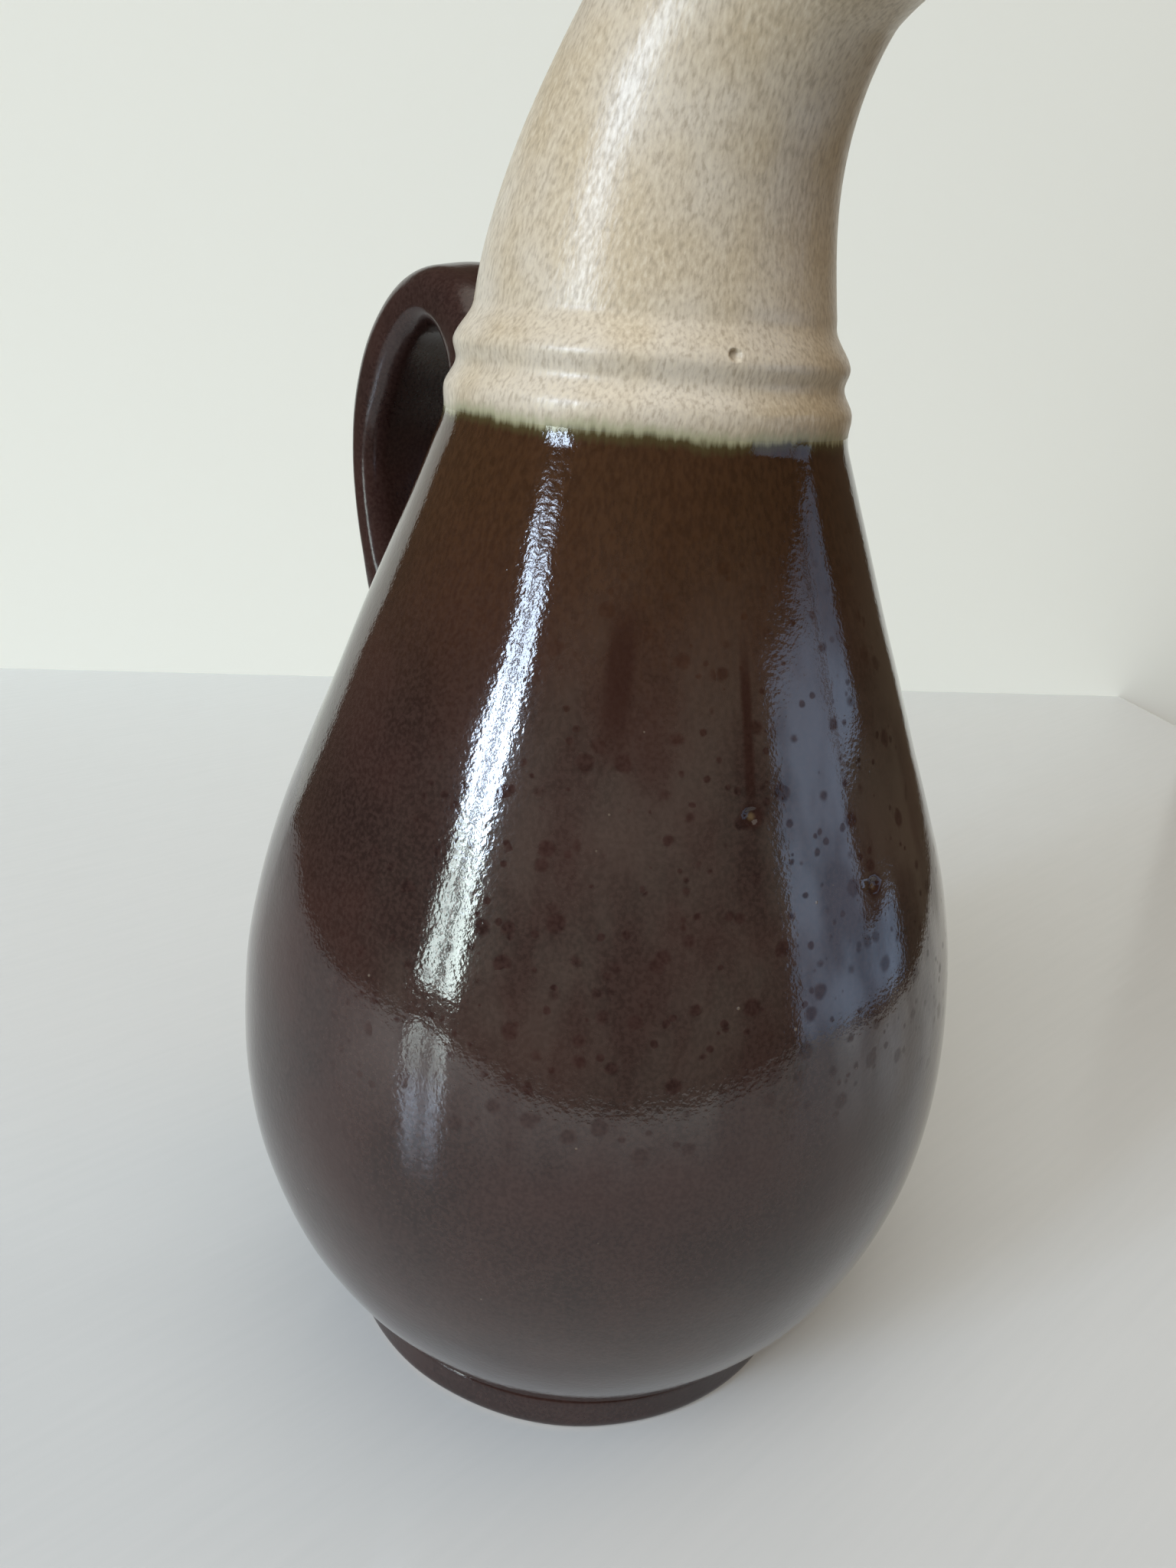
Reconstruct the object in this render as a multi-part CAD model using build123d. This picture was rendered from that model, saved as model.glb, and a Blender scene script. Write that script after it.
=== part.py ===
"""Stoneware jug: a pear-shaped pot on a turned foot, a ridged collar, a forward-bent neck and a strap handle.

The pieces are the ones that a potter makes apart and lutes together with slip.
Frame: millimetres, +Z up, origin at the centre of the foot on the table.
The neck bends towards +X and the handle stands on the -X side, so XZ is the plane of symmetry.
"""

import os
from math import acos, asin, atan2, cos, degrees, hypot, radians, sin, tan

from build123d import *

# Luted joints
SLIP_GAP = 0.3  # slip film left between a spigot and the rebate around it
LAP = 3.0  # depth of the lap joints

# Foot ring
FOOT_RADIUS = 50.0
FOOT_HEIGHT = 8.0
FOOT_WIDTH = 7.0  # width of the ring's bearing face
FOOT_EDGE = 1.2  # rounding of the ring's lower edges

# Pot
BELLY_RADIUS = 72.0
BELLY_HEIGHT = 67.0  # height of the widest circle
SHOULDER_ARC = 138.0  # radius of the profile from the belly up to the straight shoulder
POT_TOP = 187.5
POT_TOP_RADIUS = 35.0
POT_WALL = 5.0
POT_FLOOR = 7.0  # clay above the foot ring's seat
FLOOR_CORNER = 9.0  # rounding where the floor meets the wall inside

# Collar with its two thrown ridges
COLLAR_HEIGHT = 17.3
RIDGE_OUT = 0.5  # how far the lower ridge stands out past the pot's top edge
RIDGE_STEP = 1.3  # how far the upper ridge stands inside the lower one
RIDGE_DEPTH = 1.8  # depth of the groove below the lower ridge's crest
LOWER_RIDGE = 3.7  # heights above the collar's foot
GROOVE = 7.5
UPPER_RIDGE = 11.2

# Neck
NECK_RADIUS = 31.0  # at the collar
THROAT_RADIUS = 19.8
MOUTH_RADIUS = 24.5  # half the mouth's width
LIP_REACH = 4.5  # how far the pouring lip is drawn out past a round mouth
NECK_WALL = 4.8
NECK_RISE = 2.0  # upright part of the centreline, from the collar to the bend
NECK_BEND = 73.0  # radius of the neck's bent centreline
NECK_TURN = 48.0  # how far the neck bends forward, degrees
NECK_EVENNESS = 0.6  # 1 tapers evenly to the throat, 0 eases in and out
THROAT_TRAVEL = 59.0  # centreline length from the collar to the throat
SPOUT_LENGTH = 20.0  # straight part of the centreline, from the bend to the mouth
NECK_STEPS = 4  # loft steps from the collar to the throat
SPOUT_STEPS = 3  # loft steps from the throat to the mouth
RIM_EDGE = 1.5  # rounding of the rim's two edges

# Handle
STRAP_WIDTH = 27.0
STRAP_THICKNESS = 11.0
STRAP_FLAT = 1.4  # flat left on the strap's side between its two rounded edges
HANDLE_RISE = 7.5  # height of the strap's crown above the collar
HANDLE_STANDOFF = 47.0  # reach of the strap past the neck's radius at the collar
CROWN_ARC = 33.5  # outer radius of the strap's crown
LEG_ARC = 92.0  # outer radius of the strap's long leg
CROWN_START = 70.0  # where the crown leaves the upper root, degrees above the horizontal
LEG_TURN = 25.0  # how far the leg turns in towards the pot, degrees
UPPER_ROOT_WIDTH = 30.0
UPPER_ROOT_HEIGHT = 30.0  # at the root's end section inside the neck
UPPER_ROOT_INSIDE = 12.0  # distance of that section from the jug's axis
LOWER_ROOT_WIDTH = 30.0
LOWER_ROOT_LENGTH = 20.0
ROOT_CORNER = 8.0
ROOT_EMBED = 3.0  # how far the lower root is drawn into the pot, whose surface trims it


def at(radius, height):
    """A point of a profile in the XZ plane."""
    return Vector(radius, 0, height)


def on_arc(centre, radius, angle):
    """The point of a profile arc at an angle above the horizontal, in degrees."""
    return at(centre[0] + radius * cos(radians(angle)), centre[1] + radius * sin(radians(angle)))


def profile_arc(centre, radius, start, end):
    """A profile arc between two angles, in degrees."""
    ends = [on_arc(centre, radius, angle) for angle in (start, (start + end) / 2, end)]
    return ThreePointArc(*ends)


def polyline(points):
    """Straight profile edges through points."""
    return [Line(a, b) for a, b in zip(points, points[1:])]


def turned(edges):
    """The solid that a closed profile sweeps round the jug's axis."""
    return revolve(make_face(Wire(edges)), Axis.Z, 360)


def filled(edges):
    """The solid inside a stretch of outer profile, closed to the jug's axis."""
    low = edges[0] @ 0
    high = edges[-1] @ 1
    return turned(edges + polyline([high, at(0, high.Z), at(0, low.Z), low]))


# Pot profile, shared by the pot and by what is luted to it
foot_seat = FOOT_HEIGHT
foot_bore = FOOT_RADIUS - FOOT_WIDTH
belly_arc = ((BELLY_RADIUS - FOOT_RADIUS) ** 2 + (BELLY_HEIGHT - foot_seat) ** 2) / (
    2 * (BELLY_RADIUS - FOOT_RADIUS)
)
belly_centre = (BELLY_RADIUS - belly_arc, BELLY_HEIGHT)
shoulder_centre = (BELLY_RADIUS - SHOULDER_ARC, BELLY_HEIGHT)
belly_start = degrees(asin((foot_seat - BELLY_HEIGHT) / belly_arc))
top_run = POT_TOP_RADIUS - shoulder_centre[0]
top_rise = POT_TOP - BELLY_HEIGHT
shoulder_slope = degrees(atan2(top_rise, top_run) - acos(SHOULDER_ARC / hypot(top_run, top_rise)))
shoulder_taper = tan(radians(shoulder_slope))

# Lap joint between pot and collar
collar_foot = POT_TOP
collar_top = POT_TOP + COLLAR_HEIGHT
pot_bore = POT_TOP_RADIUS - POT_WALL / cos(radians(shoulder_slope))
pot_rebate = (POT_TOP_RADIUS + pot_bore) / 2 + SLIP_GAP
collar_spigot = pot_rebate - SLIP_GAP
neck_bore = NECK_RADIUS - NECK_WALL
collar_rebate = (NECK_RADIUS + neck_bore) / 2 + SLIP_GAP
neck_spigot = collar_rebate - SLIP_GAP

# Neck centreline
bend_length = NECK_BEND * radians(NECK_TURN)
neck_length = NECK_RISE + bend_length + SPOUT_LENGTH


def pot_radius(height):
    """The pot's outer radius on its straight shoulder."""
    return POT_TOP_RADIUS + (POT_TOP - height) * shoulder_taper


def make_foot_ring():
    seat = foot_seat
    ring = turned(
        polyline([at(foot_bore, 0), at(FOOT_RADIUS, 0), at(FOOT_RADIUS, seat), at(foot_bore, seat), at(foot_bore, 0)])
    )
    lower_edges = ring.edges().filter_by(GeomType.CIRCLE).group_by(Axis.Z)[0]
    return fillet(lower_edges, FOOT_EDGE)


def pot_side():
    """The pot's outer profile from the foot ring up to the collar."""
    return [
        profile_arc(belly_centre, belly_arc, belly_start, 0),
        profile_arc(shoulder_centre, SHOULDER_ARC, 0, shoulder_slope),
        Line(on_arc(shoulder_centre, SHOULDER_ARC, shoulder_slope), at(POT_TOP_RADIUS, POT_TOP)),
    ]


def make_pot():
    spigot = foot_bore - SLIP_GAP
    underside = foot_seat - LAP
    floor_top = foot_seat + POT_FLOOR
    inner_belly = belly_arc - POT_WALL
    inner_shoulder = SHOULDER_ARC - POT_WALL
    floor_angle = degrees(asin((floor_top - BELLY_HEIGHT) / inner_belly))
    floor_edge = on_arc(belly_centre, inner_belly, floor_angle)
    rebate_floor = POT_TOP - LAP
    ledge = pot_bore + LAP * shoulder_taper
    inner_shoulder_end = on_arc(shoulder_centre, inner_shoulder, shoulder_slope)
    outline = polyline([at(0, underside), at(spigot, underside), at(spigot, foot_seat), at(FOOT_RADIUS, foot_seat)])
    outline += pot_side()
    outline += polyline(
        [
            at(POT_TOP_RADIUS, POT_TOP),
            at(pot_rebate, POT_TOP),
            at(pot_rebate, rebate_floor),
            at(ledge, rebate_floor),
            inner_shoulder_end,
        ]
    )
    outline += [
        profile_arc(shoulder_centre, inner_shoulder, shoulder_slope, 0),
        profile_arc(belly_centre, inner_belly, 0, floor_angle),
    ]
    outline += polyline([floor_edge, at(0, floor_top), at(0, underside)])
    pot = turned(outline)
    floor_corner = pot.edges().filter_by(GeomType.CIRCLE).sort_by_distance(floor_edge)[0]
    return fillet(floor_corner, FLOOR_CORNER)


def collar_side():
    """The collar's outer profile with its two ridges."""
    lower_crest = POT_TOP_RADIUS + RIDGE_OUT
    ridges = Spline(
        at(POT_TOP_RADIUS, collar_foot),
        at(lower_crest, collar_foot + LOWER_RIDGE),
        at(lower_crest - RIDGE_DEPTH, collar_foot + GROOVE),
        at(lower_crest - RIDGE_STEP, collar_foot + UPPER_RIDGE),
        at(NECK_RADIUS, collar_top),
        tangents=[(0, 0, 1), (0, 0, 1)],
    )
    return [ridges]


def make_collar():
    spigot_foot = collar_foot - LAP + SLIP_GAP
    rebate_floor = collar_top - LAP
    bore_slope = (pot_bore - neck_bore) / (collar_top - spigot_foot)
    rebate_bore = neck_bore + LAP * bore_slope
    inside = polyline(
        [
            at(NECK_RADIUS, collar_top),
            at(collar_rebate, collar_top),
            at(collar_rebate, rebate_floor),
            at(rebate_bore, rebate_floor),
            at(pot_bore, spigot_foot),
            at(collar_spigot, spigot_foot),
            at(collar_spigot, collar_foot),
            at(POT_TOP_RADIUS, collar_foot),
        ]
    )
    return turned(collar_side() + inside)


def neck_plane(travel):
    """The plane across the neck at a length of its centreline: upright, then bent, then straight."""
    rise = min(travel, NECK_RISE)
    bent = min(travel - rise, bend_length)
    straight = travel - rise - bent
    turn = bent / NECK_BEND
    along = Vector(sin(turn), 0, cos(turn))
    bend_end = Vector(NECK_BEND * (1 - cos(turn)), 0, collar_top + rise + NECK_BEND * sin(turn))
    return Plane(origin=bend_end + along * straight, x_dir=(cos(turn), 0, -sin(turn)), z_dir=along)


def neck_section(travel, inset):
    """An oval across the neck, which narrows to the throat and then opens, most of all at the front."""
    if travel <= THROAT_TRAVEL:
        share = travel / THROAT_TRAVEL
        eased = share**2 * (3 - 2 * share)
        taper = NECK_EVENNESS * share + (1 - NECK_EVENNESS) * eased
        half_width = NECK_RADIUS + (THROAT_RADIUS - NECK_RADIUS) * taper
        reach = 0.0
    else:
        share = (travel - THROAT_TRAVEL) / (neck_length - THROAT_TRAVEL)
        half_width = THROAT_RADIUS + (MOUTH_RADIUS - THROAT_RADIUS) * share**2
        reach = LIP_REACH * share**2
    oval = Ellipse(half_width + reach / 2 - inset, half_width - inset)
    return neck_plane(travel) * (Pos(reach / 2, 0) * oval)


def neck_loft(inset):
    """The neck's form from the collar to the mouth, drawn in by an inset."""
    bent = THROAT_TRAVEL - NECK_RISE
    spout = neck_length - THROAT_TRAVEL
    travels = [0.0]
    travels += [NECK_RISE + bent * step / NECK_STEPS for step in range(NECK_STEPS)]
    travels += [THROAT_TRAVEL + spout * step / SPOUT_STEPS for step in range(SPOUT_STEPS + 1)]
    return loft([neck_section(travel, inset) for travel in travels])


def make_neck():
    shell = neck_loft(0) - neck_loft(NECK_WALL)
    mouth = neck_plane(neck_length)
    rim = shell.faces().filter_by(GeomType.PLANE).sort_by_distance(mouth.origin)[0]
    shell = fillet(rim.edges(), min(RIM_EDGE, NECK_WALL / 3))
    spigot_foot = collar_top - LAP + SLIP_GAP
    spigot = turned(
        polyline(
            [
                at(neck_bore, spigot_foot),
                at(neck_spigot, spigot_foot),
                at(neck_spigot, collar_top),
                at(neck_bore, collar_top),
                at(neck_bore, spigot_foot),
            ]
        )
    )
    return shell + spigot


# Handle centreline, in the XZ plane on the -X side
handle_top = collar_top + HANDLE_RISE
handle_reach = NECK_RADIUS + HANDLE_STANDOFF
crown_centre = (handle_reach - CROWN_ARC, handle_top - CROWN_ARC)
leg_centre = (handle_reach - LEG_ARC, handle_top - CROWN_ARC)
crown_middle = CROWN_ARC - STRAP_THICKNESS / 2
leg_middle = LEG_ARC - STRAP_THICKNESS / 2


def behind(point):
    """A profile point turned over to the handle's side of the jug."""
    return Vector(-point.X, 0, point.Z)


def strap_plane(centre, radius, angle):
    """The plane across the strap at an angle of one of its arcs."""
    tangent = Vector(-sin(radians(angle)), 0, -cos(radians(angle)))
    return Plane(origin=behind(on_arc(centre, radius, angle)), x_dir=(0, 1, 0), z_dir=tangent)


def strap_section():
    return RectangleRounded(STRAP_WIDTH, STRAP_THICKNESS, (STRAP_THICKNESS - STRAP_FLAT) / 2)


def handle_arc(centre, radius, start, end):
    """An arc of the strap's centreline."""
    points = [behind(on_arc(centre, radius, angle)) for angle in (start, (start + end) / 2, end)]
    return ThreePointArc(*points)


def make_handle_strap():
    crown = handle_arc(crown_centre, crown_middle, CROWN_START, 0)
    leg = handle_arc(leg_centre, leg_middle, 0, -LEG_TURN)
    start = strap_plane(crown_centre, crown_middle, CROWN_START)
    return sweep(start * strap_section(), path=Wire([crown, leg]))


def trimmed(root):
    """A handle root cut back to the outside of the jug."""
    return root - filled(pot_side()) - filled(collar_side()) - neck_loft(0)


def make_upper_root():
    strap_end = strap_plane(crown_centre, crown_middle, CROWN_START)
    seat_centre = (-UPPER_ROOT_INSIDE, 0, handle_top - UPPER_ROOT_HEIGHT / 2)
    seat = Plane(origin=seat_centre, x_dir=(0, 1, 0), z_dir=(-1, 0, 0))
    flare = RectangleRounded(UPPER_ROOT_WIDTH, UPPER_ROOT_HEIGHT, ROOT_CORNER)
    return trimmed(loft([strap_end * strap_section(), seat * flare]))


def make_lower_root():
    strap_end = strap_plane(leg_centre, leg_middle, -LEG_TURN)
    lean = radians(LEG_TURN)
    gap = -strap_end.origin.X - pot_radius(strap_end.origin.Z)
    outer_gap = gap + LOWER_ROOT_LENGTH / 2 * (cos(lean) - sin(lean) * shoulder_taper)
    depth = outer_gap / (sin(lean) + cos(lean) * shoulder_taper) + ROOT_EMBED
    seat_centre = strap_end.origin + strap_end.z_dir * depth
    seat = Plane(origin=seat_centre, x_dir=(0, 1, 0), z_dir=strap_end.z_dir)
    flare = RectangleRounded(LOWER_ROOT_WIDTH, LOWER_ROOT_LENGTH, ROOT_CORNER)
    return trimmed(loft([strap_end * strap_section(), seat * flare]))


def main():
    pieces = {
        "foot_ring": make_foot_ring(),
        "pot": make_pot(),
        "collar": make_collar(),
        "neck": make_neck(),
        "handle_strap": make_handle_strap(),
        "handle_upper_root": make_upper_root(),
        "handle_lower_root": make_lower_root(),
    }
    os.makedirs("parts", exist_ok=True)
    for name, piece in pieces.items():
        export_step(piece, f"parts/{name}.step")


main()
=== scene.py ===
"""Glazed stoneware jug on a pale table: foot ring, pot, collar, bent neck and pulled handle.

Metres, +Z up, the foot on the table at the origin, the mouth towards +X and the handle towards -X.
"""

from collections import namedtuple
from math import acos, asin, atan2, cos, hypot, pi, radians, sin

import bpy
from mathutils import Matrix, Vector


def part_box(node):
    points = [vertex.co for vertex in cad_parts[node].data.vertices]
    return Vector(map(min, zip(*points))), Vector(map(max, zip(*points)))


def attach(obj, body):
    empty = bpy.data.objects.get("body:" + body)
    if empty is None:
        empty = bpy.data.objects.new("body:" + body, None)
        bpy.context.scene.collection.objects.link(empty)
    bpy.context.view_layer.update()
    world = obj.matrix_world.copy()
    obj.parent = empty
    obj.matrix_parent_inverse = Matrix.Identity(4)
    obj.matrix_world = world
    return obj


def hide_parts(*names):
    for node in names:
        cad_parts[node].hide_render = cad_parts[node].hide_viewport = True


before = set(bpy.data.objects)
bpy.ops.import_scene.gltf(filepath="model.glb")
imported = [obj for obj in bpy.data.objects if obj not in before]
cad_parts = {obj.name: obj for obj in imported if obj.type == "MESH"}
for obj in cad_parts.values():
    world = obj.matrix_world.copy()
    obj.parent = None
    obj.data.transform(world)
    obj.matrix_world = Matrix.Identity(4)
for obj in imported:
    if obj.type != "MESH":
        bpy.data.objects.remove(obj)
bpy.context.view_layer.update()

MM = 0.001
SIDES = 160  # corners of a thrown ring
POLE = 0.001 * MM  # radius of a ring that is welded to a point on the axis
WELD = 0.01 * MM  # closer points than this are welded
CREASE = radians(50)  # sharper edges than this stay sharp

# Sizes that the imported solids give
foot_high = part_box("foot_ring")[1]
pot_low, pot_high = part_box("pot")
collar_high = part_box("collar")[1]
strap_low, strap_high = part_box("handle_strap")
root_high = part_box("handle_upper_root")[1]
foot_radius = foot_high.x
foot_seat = foot_high.z
belly_radius = pot_high.x
pot_underside = pot_low.z
collar_foot = pot_high.z
collar_top = collar_high.z
lower_crest = collar_high.x

# Foot ring
FOOT_WIDTH = 7 * MM
FOOT_EDGE = 2.2 * MM  # rounding of its bearing edges
FOOT_SHOULDER = 0.9 * MM  # rounding of its top edge, which leaves a fine groove under the pot

# Pot
BELLY_HEIGHT = 67 * MM
SHOULDER_ARC = 138 * MM
POT_TOP_RADIUS = 35 * MM
POT_WALL = 5 * MM
POT_FLOOR = 7 * MM
FLOOR_CORNER = 9 * MM
LINE_FLARE = 0.45 * MM  # how far the wall turns out to the collar
FLARE_HEIGHT = 3 * MM
THROWING_PITCH = 7 * MM  # from one finger ridge inside the pot to the next
THROWING_DEPTH = 0.35 * MM

# Collar
RIDGE_STEP = 1.3 * MM  # how far the upper ridge stands back from the lower one
RIDGE_DEPTH = 1.8 * MM  # of the groove between them
LOWER_RIDGE = 3.7 * MM  # heights above the collar's foot
GROOVE = 7.5 * MM
UPPER_RIDGE = 11.2 * MM

# Marks in the glazes: bubbles that burst in the pot's and the collar's glaze, and dark runs above the pot's
BLISTERS = (  # azimuth and height
    (radians(67.8), 134.5 * MM),
    (radians(91.3), 120.5 * MM),
)
BLISTER_RADIUS = 0.7 * MM
BLISTER_DEPTH = 0.5 * MM
BLISTER_HALO = 2.6 * MM
RUNS = (  # azimuth, height of the foot and half the width
    (radians(67.8), 134.5 * MM, 1.2 * MM),
    (radians(44.5), 140 * MM, 3 * MM),
)
RUN_LENGTH = 28 * MM
PINHOLE_AZIMUTH = radians(66.8)
PINHOLE_RISE = 12.1 * MM  # above the collar's foot
PINHOLE_RADIUS = 0.5 * MM
PINHOLE_DEPTH = 1.1 * MM
BUBBLE_CUTS = 5  # how much finer the mesh is cut round a bubble
BUBBLE_REACH = 5  # how far it is cut finer, in radii of the bubble
BUBBLE_LIP = 1.5  # how far the pushed-in glaze reaches past the bubble, in its radii

# Neck
NECK_RADIUS = 31 * MM
THROAT_RADIUS = 19.8 * MM
MOUTH_RADIUS = 24.5 * MM
LIP_REACH = 4.5 * MM
NECK_WALL = 4.8 * MM
NECK_RISE = 1.5 * MM  # straight stretch above the collar
NECK_BEND = 70 * MM  # radius of the bent centreline
NECK_TURN = radians(48)  # how far the neck leans at its mouth
NECK_EVENNESS = 0.6  # share of the taper that is even, where the rest is slow at both ends
NECK_HOLLOW = 2.2 * MM  # how far the neck's back is drawn in where it starts to lean
NECK_HOLLOW_POWER = 1.5  # how suddenly it is drawn in
THROAT_TRAVEL = 59 * MM  # length of the centreline up to the narrowest place
SPOUT_LENGTH = 23 * MM

# Handle
CROWN_THICKNESS = 13.2 * MM
LEG_THICKNESS = 9.8 * MM
THIN_START = 14 * MM  # length of the crown from where the strap starts to thin to its outermost point
THIN_LENGTH = 26 * MM
EDGE_ROUNDING = 5.4 * MM  # of the strap's long edges, at its crown
FACE_CROWN = 2 * MM  # how far the middle of the strap's outer face stands out
STRAP_SPREAD = 2.8 * MM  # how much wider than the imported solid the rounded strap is
CROWN_LIFT = 3.2 * MM  # how far the crown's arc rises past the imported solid
CROWN_ARC = 36 * MM  # outer radius of the crown
LEG_ARC = 84 * MM  # outer radius of the long leg
LEG_TURN = radians(20)  # where the leg starts to spread into its root
ROOT_START = radians(45)  # where the crown starts to turn into its root
ROOT_DROP = 12.5 * MM  # how far the crown dips to the neck
ROOT_DROP_POWER = 3  # how suddenly it dips
ROOT_WIDTH = 29 * MM
ROOT_FLARE = 2.5 * MM  # how far a root spreads, on each side, where it meets the jug
ROOT_FLARE_POWER = 5  # how suddenly it spreads
ROOT_SINK = 2 * MM  # how deep a root's end sits in the jug's wall
ROOT_CLEARANCE = 8 * MM  # how far off the wall a root's end is drawn before it is pressed in
ROOT_ENDS = "root ends"  # name of the points that are pressed in
UPPER_ROOT_FOOT = 184.5 * MM  # height where the upper root's underside meets the pot
ARCH_REACH = 46.5 * MM  # the point that the underside of the crown heads for at both ends
ARCH_HEIGHT = 208.5 * MM
LOWER_ROOT_TOP = 138.4 * MM  # heights where the lower root's inner and outer sides meet the pot
LOWER_ROOT_FOOT = 119.6 * MM
LOWER_INNER_SWELL = 2 * MM  # how far those sides swell out on their way
LOWER_OUTER_SWELL = 3 * MM
UPPER_ROOT_STEPS = 16  # rings along each stretch of the handle
STRAP_STEPS = 14
LOWER_ROOT_STEPS = 12
EDGE_SEGMENTS = 8  # corners of a rounded long edge
FACE_CUTS = 9  # corners between them

# Shapes of the hand: slow waves that a thrown surface keeps
HAND_WAVE = 28 * MM  # size of one wave
HAND_DEPTH = 0.5 * MM

strap_width = strap_high.y - strap_low.y + STRAP_SPREAD
handle_reach = -strap_low.x
handle_top = root_high.z + CROWN_LIFT

Ring = namedtuple("Ring", "centre turn depth width pressed", defaults=[False])


def spread(start, end, steps):
    """Evenly spaced values from start to end, both included."""
    return [start + (end - start) * step / steps for step in range(steps + 1)]


def ease(share):
    """0 to 1, slow at both ends."""
    return share * share * (3 - 2 * share)


# Pot profile, shared by the pot and by what meets it
belly_arc = ((belly_radius - foot_radius) ** 2 + (BELLY_HEIGHT - foot_seat) ** 2) / (
    2 * (belly_radius - foot_radius)
)
belly_centre = (belly_radius - belly_arc, BELLY_HEIGHT)
shoulder_centre = (belly_radius - SHOULDER_ARC, BELLY_HEIGHT)
top_run = POT_TOP_RADIUS - shoulder_centre[0]
top_rise = collar_foot - BELLY_HEIGHT
shoulder_slope = atan2(top_rise, top_run) - acos(SHOULDER_ARC / hypot(top_run, top_rise))
shoulder_taper = sin(shoulder_slope) / cos(shoulder_slope)
bend_length = NECK_BEND * NECK_TURN
neck_length = NECK_RISE + bend_length + SPOUT_LENGTH


def arc(centre, radius, start, end, steps):
    """Profile points, as radius and height, on an arc between two angles above the horizontal."""
    return [(centre[0] + radius * cos(a), centre[1] + radius * sin(a)) for a in spread(start, end, steps)]


def line(start, end, steps=1):
    """Profile points on a straight stretch."""
    return list(zip(spread(start[0], end[0], steps), spread(start[1], end[1], steps)))


def upright(profile):
    """Level rings round the jug's axis from profile points, without the points that repeat."""
    rings = []
    for radius, height in profile:
        ring = Ring(Vector((0, 0, height)), 0, radius, radius)
        if not rings or hypot(radius - rings[-1].depth, height - rings[-1].centre.z) > WELD:
            rings.append(ring)
    return rings


def draw_out(piece, rings):
    """Draws the selected outline of a piece, in edit mode, from ring to ring."""
    for old, new in zip(rings[:1] + rings, rings):
        if new is not old:
            step = tuple(new.centre - old.centre)
            bpy.ops.mesh.extrude_region_move(TRANSFORM_OT_translate={"value": step})
            # With no window this operator turns the other way
            bpy.ops.transform.rotate(
                value=old.turn - new.turn, orient_axis="Y", center_override=tuple(new.centre)
            )
            thicken = new.depth / old.depth
            widen = new.width / old.width
            bpy.ops.transform.resize(value=(thicken, widen, thicken), center_override=tuple(new.centre))
        if old.pressed:
            bpy.ops.object.vertex_group_remove_from(use_all_groups=True)
        if new.pressed:
            ends = piece.vertex_groups.get(ROOT_ENDS) or piece.vertex_groups.new(name=ROOT_ENDS)
            piece.vertex_groups.active = ends
            bpy.ops.object.vertex_group_assign()


def close_up(piece):
    """Welds the ends of a drawn piece, turns its faces outwards and leaves edit mode."""
    bpy.ops.mesh.select_all(action="SELECT")
    bpy.ops.mesh.remove_doubles(threshold=WELD)
    bpy.ops.mesh.normals_make_consistent(inside=False)
    bpy.ops.object.mode_set(mode="OBJECT")
    bpy.ops.object.shade_smooth_by_angle(angle=CREASE)


def throw(name, rings):
    """A round piece, drawn out from a circle at its first ring."""
    first = rings[0]
    bpy.ops.object.select_all(action="DESELECT")
    bpy.ops.mesh.primitive_circle_add(vertices=SIDES, radius=first.depth, location=first.centre)
    piece = bpy.context.object
    piece.name = name
    bpy.ops.object.transform_apply(location=True, rotation=True, scale=True)
    bpy.ops.object.mode_set(mode="EDIT")
    bpy.ops.mesh.select_all(action="SELECT")
    draw_out(piece, rings)
    close_up(piece)
    return piece


def hand_waves(piece):
    """Gives a piece the slow waves of hand work, which move pieces alike where they meet."""
    waves = bpy.data.textures.new(piece.name + "_waves", "CLOUDS")
    waves.cloud_type = "COLOR"
    waves.noise_scale = HAND_WAVE
    waves.noise_depth = 1
    modifier = piece.modifiers.new("hand waves", "DISPLACE")
    modifier.texture = waves
    modifier.texture_coords = "LOCAL"
    modifier.direction = "RGB_TO_XYZ"
    modifier.strength = HAND_DEPTH
    modifier.mid_level = 0.5
    bpy.context.view_layer.objects.active = piece
    bpy.ops.object.modifier_apply(modifier=modifier.name)
    bpy.data.textures.remove(waves)


def make_foot_ring():
    bore = foot_radius - FOOT_WIDTH
    shoulder = (foot_radius - FOOT_SHOULDER, foot_seat - FOOT_SHOULDER)
    outer_edge = (foot_radius - FOOT_EDGE, FOOT_EDGE)
    inner_edge = (bore + FOOT_EDGE, FOOT_EDGE)
    profile = line((bore, foot_seat), (shoulder[0], foot_seat), 4)
    profile += arc(shoulder, FOOT_SHOULDER, pi / 2, 0, 5)
    profile += line((foot_radius, shoulder[1]), (foot_radius, FOOT_EDGE), 8)
    profile += arc(outer_edge, FOOT_EDGE, 0, -pi / 2, 6)
    profile += arc(inner_edge, FOOT_EDGE, -pi / 2, -pi, 6)
    profile += line((bore, FOOT_EDGE), (bore, foot_seat), 4)
    return throw("foot_ring_glazed", upright(profile))


def throwing_ridges(profile):
    """The same inner profile with the spiral ridges that the fingers leave, drawn as rings."""
    return [(r + THROWING_DEPTH * sin(2 * pi * z / THROWING_PITCH), z) for r, z in profile]


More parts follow.
